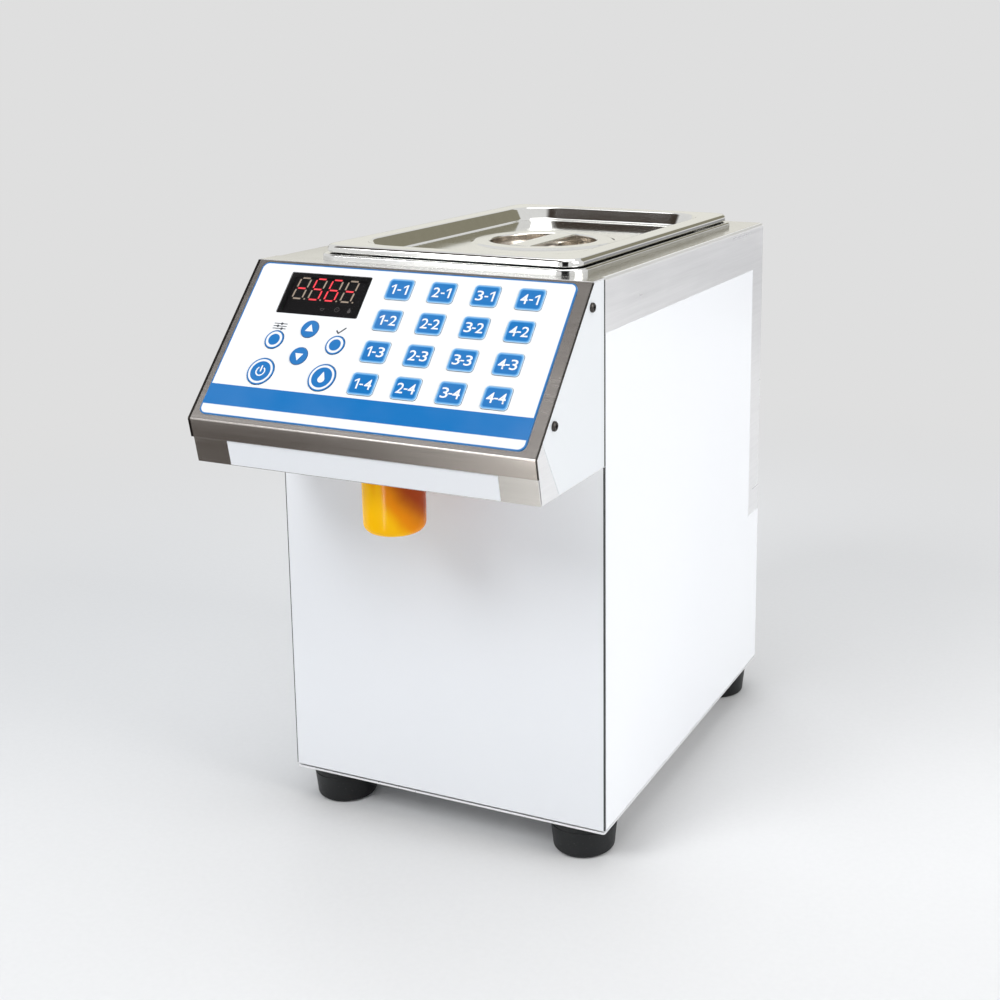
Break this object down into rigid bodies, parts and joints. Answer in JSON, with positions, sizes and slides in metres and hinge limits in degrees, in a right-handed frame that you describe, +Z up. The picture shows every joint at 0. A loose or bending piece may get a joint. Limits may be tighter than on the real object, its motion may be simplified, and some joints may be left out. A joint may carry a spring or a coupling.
{
  "type": "fructose dispenser",
  "caption": "Countertop syrup dispenser: steel cabinet on rubber feet, covered pan on top, sloped key panel with display, internal gear pump and a capped outlet.",
  "frame": {"origin": "middle of the footprint at the bench, under the feet", "axes": "+Z up, +X to the right seen from the front, +Y to the rear; the key panel faces -Y"},
  "size_m": [0.2584, 0.4422, 0.4257],
  "materials": {
    "case_steel": "fine brushed stainless sheet",
    "white_film": "smooth glossy white film",
    "foot_rubber": "satin black rubber",
    "zinc_screws": "bright zinc plate",
    "panel_steel": "brushed stainless, slightly warm",
    "overlay_print": "printed polyester, white with a blue band",
    "key_blue": "printed polyester, blue with a pale border",
    "control_keys": "printed polyester, white with a blue ring",
    "display_lens": "smooth dark tinted window",
    "display_black": "black display module",
    "board_green": "green circuit board",
    "brass_posts": "turned brass",
    "pan_steel": "polished stainless",
    "lid_steel": "polished stainless",
    "clear_hose": "pale silicone",
    "spring_clips": "spring steel",
    "pump_metal": "machined aluminium",
    "gear_steel": "cut steel",
    "motor_paint": "black enamel",
    "bracket_steel": "plain steel sheet",
    "nozzle_white": "moulded white plastic",
    "cap_amber": "soft translucent amber plastic",
    "supply_metal": "pressed aluminium case",
    "inlet_black": "moulded black plastic",
    "rocker_black": "moulded black plastic",
    "dark_screws": "black oxide",
    "lead_jacket": "grey cable jacket"
  },
  "bodies": {
    "cabinet": {"body_wrap": "case_steel", "front_panel": "case_steel", "console_tray": "case_steel", "console_cheeks": "case_steel", "rear_panel": "case_steel", "base_plate": "case_steel", "side_films": "white_film", "front_films": "white_film", "rubber_feet": "foot_rubber", "foot_screws": "zinc_screws", "panel_plate": "panel_steel", "panel_overlay": "overlay_print", "display_window": "display_lens", "display_module": "display_black", "control_board": "board_green", "board_posts": "brass_posts", "syrup_pan": "pan_steel", "pan_outlet": "pan_steel", "suction_hose": "clear_hose", "delivery_hose": "clear_hose", "hose_clips": "spring_clips", "pump_body": "pump_metal", "pump_cover": "pump_metal", "pump_screws": "zinc_screws", "pump_motor": "motor_paint", "pump_bracket": "bracket_steel", "nozzle": "nozzle_white", "nozzle_nut": "nozzle_white", "power_supply": "supply_metal", "mains_inlet": "inlet_black", "case_screws": "dark_screws", "wiring": "lead_jacket"},
    "lid": {"lid": "lid_steel", "lid_handle": "lid_steel"},
    "nozzle_cap": {"nozzle_cap": "cap_amber"},
    "key_1_1": {"key_1_1": "key_blue"},
    "key_1_2": {"key_1_2": "key_blue"},
    "key_1_3": {"key_1_3": "key_blue"},
    "key_1_4": {"key_1_4": "key_blue"},
    "key_2_1": {"key_2_1": "key_blue"},
    "key_2_2": {"key_2_2": "key_blue"},
    "key_2_3": {"key_2_3": "key_blue"},
    "key_2_4": {"key_2_4": "key_blue"},
    "key_3_1": {"key_3_1": "key_blue"},
    "key_3_2": {"key_3_2": "key_blue"},
    "key_3_3": {"key_3_3": "key_blue"},
    "key_3_4": {"key_3_4": "key_blue"},
    "key_4_1": {"key_4_1": "key_blue"},
    "key_4_2": {"key_4_2": "key_blue"},
    "key_4_3": {"key_4_3": "key_blue"},
    "key_4_4": {"key_4_4": "key_blue"},
    "key_up": {"key_up": "control_keys"},
    "key_down": {"key_down": "control_keys"},
    "key_setting": {"key_setting": "control_keys"},
    "key_save": {"key_save": "control_keys"},
    "key_power": {"key_power": "control_keys"},
    "key_dose": {"key_dose": "control_keys"},
    "drive_gear": {"drive_gear": "gear_steel"},
    "driven_gear": {"driven_gear": "gear_steel"},
    "power_rocker": {"power_rocker": "rocker_black"}
  },
  "joints": [
    {"name": "lid_lift", "type": "slide", "parent": "cabinet", "child": "lid", "axis": [0, 0, 1], "range_m": [0, 0.15]},
    {"name": "cap_pull", "type": "slide", "parent": "cabinet", "child": "nozzle_cap", "axis": [0, 0, -1], "range_m": [0, 0.06]},
    {"name": "pump_drive", "type": "hinge", "parent": "cabinet", "child": "drive_gear", "pos_m": [-0.05, -0.05208, 0.116], "axis": [0, 1, 0], "continuous": true},
    {"name": "pump_idler", "type": "hinge", "parent": "cabinet", "child": "driven_gear", "pos_m": [-0.05, -0.05208, 0.134], "axis": [0, 1, 0], "continuous": true},
    {"name": "rocker_tilt", "type": "hinge", "parent": "cabinet", "child": "power_rocker", "pos_m": [0.065, 0.21482, 0.0865], "axis": [1, 0, 0], "range_deg": [-16, 0]},
    {"name": "key_1_1_press", "type": "slide", "parent": "cabinet", "child": "key_1_1", "axis": [0, 0.7511, -0.6601], "range_m": [0, 0.0004], "stiffness_N_per_m": 4000},
    {"name": "key_1_2_press", "type": "slide", "parent": "cabinet", "child": "key_1_2", "axis": [0, 0.7511, -0.6601], "range_m": [0, 0.0004], "stiffness_N_per_m": 4000},
    {"name": "key_1_3_press", "type": "slide", "parent": "cabinet", "child": "key_1_3", "axis": [0, 0.7511, -0.6601], "range_m": [0, 0.0004], "stiffness_N_per_m": 4000},
    {"name": "key_1_4_press", "type": "slide", "parent": "cabinet", "child": "key_1_4", "axis": [0, 0.7511, -0.6601], "range_m": [0, 0.0004], "stiffness_N_per_m": 4000},
    {"name": "key_2_1_press", "type": "slide", "parent": "cabinet", "child": "key_2_1", "axis": [0, 0.7511, -0.6601], "range_m": [0, 0.0004], "stiffness_N_per_m": 4000},
    {"name": "key_2_2_press", "type": "slide", "parent": "cabinet", "child": "key_2_2", "axis": [0, 0.7511, -0.6601], "range_m": [0, 0.0004], "stiffness_N_per_m": 4000},
    {"name": "key_2_3_press", "type": "slide", "parent": "cabinet", "child": "key_2_3", "axis": [0, 0.7511, -0.6601], "range_m": [0, 0.0004], "stiffness_N_per_m": 4000},
    {"name": "key_2_4_press", "type": "slide", "parent": "cabinet", "child": "key_2_4", "axis": [0, 0.7511, -0.6601], "range_m": [0, 0.0004], "stiffness_N_per_m": 4000},
    {"name": "key_3_1_press", "type": "slide", "parent": "cabinet", "child": "key_3_1", "axis": [0, 0.7511, -0.6601], "range_m": [0, 0.0004], "stiffness_N_per_m": 4000},
    {"name": "key_3_2_press", "type": "slide", "parent": "cabinet", "child": "key_3_2", "axis": [0, 0.7511, -0.6601], "range_m": [0, 0.0004], "stiffness_N_per_m": 4000},
    {"name": "key_3_3_press", "type": "slide", "parent": "cabinet", "child": "key_3_3", "axis": [0, 0.7511, -0.6601], "range_m": [0, 0.0004], "stiffness_N_per_m": 4000},
    {"name": "key_3_4_press", "type": "slide", "parent": "cabinet", "child": "key_3_4", "axis": [0, 0.7511, -0.6601], "range_m": [0, 0.0004], "stiffness_N_per_m": 4000},
    {"name": "key_4_1_press", "type": "slide", "parent": "cabinet", "child": "key_4_1", "axis": [0, 0.7511, -0.6601], "range_m": [0, 0.0004], "stiffness_N_per_m": 4000},
    {"name": "key_4_2_press", "type": "slide", "parent": "cabinet", "child": "key_4_2", "axis": [0, 0.7511, -0.6601], "range_m": [0, 0.0004], "stiffness_N_per_m": 4000},
    {"name": "key_4_3_press", "type": "slide", "parent": "cabinet", "child": "key_4_3", "axis": [0, 0.7511, -0.6601], "range_m": [0, 0.0004], "stiffness_N_per_m": 4000},
    {"name": "key_4_4_press", "type": "slide", "parent": "cabinet", "child": "key_4_4", "axis": [0, 0.7511, -0.6601], "range_m": [0, 0.0004], "stiffness_N_per_m": 4000},
    {"name": "key_up_press", "type": "slide", "parent": "cabinet", "child": "key_up", "axis": [0, 0.7511, -0.6601], "range_m": [0, 0.0004], "stiffness_N_per_m": 4000},
    {"name": "key_down_press", "type": "slide", "parent": "cabinet", "child": "key_down", "axis": [0, 0.7511, -0.6601], "range_m": [0, 0.0004], "stiffness_N_per_m": 4000},
    {"name": "key_setting_press", "type": "slide", "parent": "cabinet", "child": "key_setting", "axis": [0, 0.7511, -0.6601], "range_m": [0, 0.0004], "stiffness_N_per_m": 4000},
    {"name": "key_save_press", "type": "slide", "parent": "cabinet", "child": "key_save", "axis": [0, 0.7511, -0.6601], "range_m": [0, 0.0004], "stiffness_N_per_m": 4000},
    {"name": "key_power_press", "type": "slide", "parent": "cabinet", "child": "key_power", "axis": [0, 0.7511, -0.6601], "range_m": [0, 0.0004], "stiffness_N_per_m": 4000},
    {"name": "key_dose_press", "type": "slide", "parent": "cabinet", "child": "key_dose", "axis": [0, 0.7511, -0.6601], "range_m": [0, 0.0004], "stiffness_N_per_m": 4000}
  ],
  "couplings": [
    {"joint": "pump_idler", "follows": "pump_drive", "ratio": -1}
  ]
}
